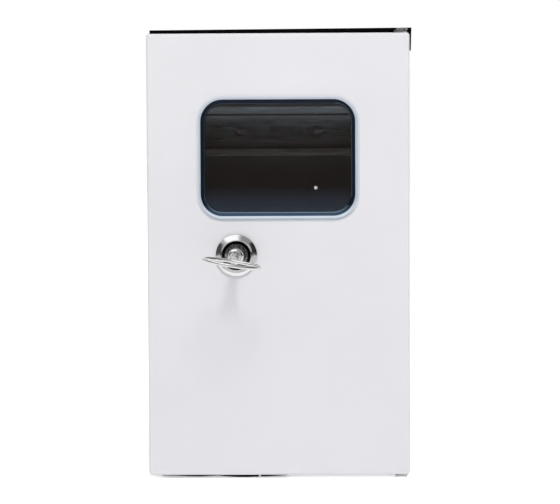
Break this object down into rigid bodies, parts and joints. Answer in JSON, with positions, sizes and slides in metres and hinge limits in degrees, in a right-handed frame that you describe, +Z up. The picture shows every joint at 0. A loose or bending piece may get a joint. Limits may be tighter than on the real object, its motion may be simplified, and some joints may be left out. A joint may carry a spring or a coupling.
{
  "type": "metal electrical enclosure",
  "caption": "Wall-mounting sheet-metal enclosure with a hinged door, smoked viewing window, cam lock with key, foam seal and a device rail inside",
  "frame": {"origin": "centre of the back face, which lies against the wall at y = 0", "axes": "+X to the right as seen from the front, the front faces -Y, +Y points into the wall, +Z up along the longest side"},
  "size_m": [0.1802, 0.1963, 0.3064],
  "materials": {
    "body_paint": "light grey-white powder coat, satin",
    "door_paint": "light grey-white powder coat, satin",
    "seal_foam": "black closed-cell foam rubber, matt",
    "zinc_rail": "zinc-plated cold-rolled rail",
    "zinc_bracket": "zinc-plated strip",
    "zinc_fixing": "zinc-plated screws, nuts, studs and washers",
    "pin_steel": "zinc-plated pin, satin",
    "washer_plastic": "natural nylon",
    "spring_steel": "dark spring steel",
    "window_clear": "clear polycarbonate with a dark smoke tint",
    "gasket_rubber": "black rubber",
    "frame_plastic": "black moulded plastic",
    "lock_chrome": "bright chrome on zinc die casting",
    "core_chrome": "chromed zinc die casting",
    "lock_rubber": "black rubber washer",
    "key_steel": "nickel-plated steel"
  },
  "bodies": {
    "enclosure": {"enclosure_shell": "body_paint", "door_seal": "seal_foam", "din_rail": "zinc_rail", "rail_bracket_left": "zinc_bracket", "rail_bracket_right": "zinc_bracket", "rail_screws": "zinc_fixing", "rail_nuts": "zinc_fixing", "bracket_studs": "zinc_fixing", "bracket_nuts": "zinc_fixing", "earth_stud": "zinc_fixing", "earth_nuts": "zinc_fixing", "earth_washers": "zinc_fixing", "hinge_pin_upper": "pin_steel", "hinge_pin_lower": "pin_steel"},
    "door": {"door_panel": "door_paint", "window_pane": "window_clear", "window_gasket": "gasket_rubber", "window_frame": "frame_plastic", "lock_housing": "lock_chrome", "lock_washer": "lock_rubber", "lock_nut": "zinc_fixing", "door_earth_stud": "zinc_fixing", "door_earth_nut": "zinc_fixing", "door_earth_washer": "zinc_fixing", "hinge_washers": "washer_plastic", "hinge_clips": "spring_steel"},
    "lock_barrel": {"lock_core": "core_chrome", "lock_cam": "zinc_bracket", "cam_washer": "zinc_fixing", "cam_screw": "zinc_fixing"},
    "key": {"key": "key_steel"}
  },
  "joints": [
    {"name": "door_hinge", "type": "hinge", "parent": "enclosure", "child": "door", "pos_m": [0.084, -0.134, 0], "axis": [0, 0, 1], "range_deg": [0, 120]},
    {"name": "lock_turn", "type": "hinge", "parent": "door", "child": "lock_barrel", "pos_m": [-0.0286, -0.13, 0], "axis": [0, 1, 0], "range_deg": [-8.8, 81.2]},
    {"name": "key_pull", "type": "slide", "parent": "lock_barrel", "child": "key", "axis": [-0.0348, -0.9964, -0.0767], "range_m": [0, 0.03]}
  ]
}
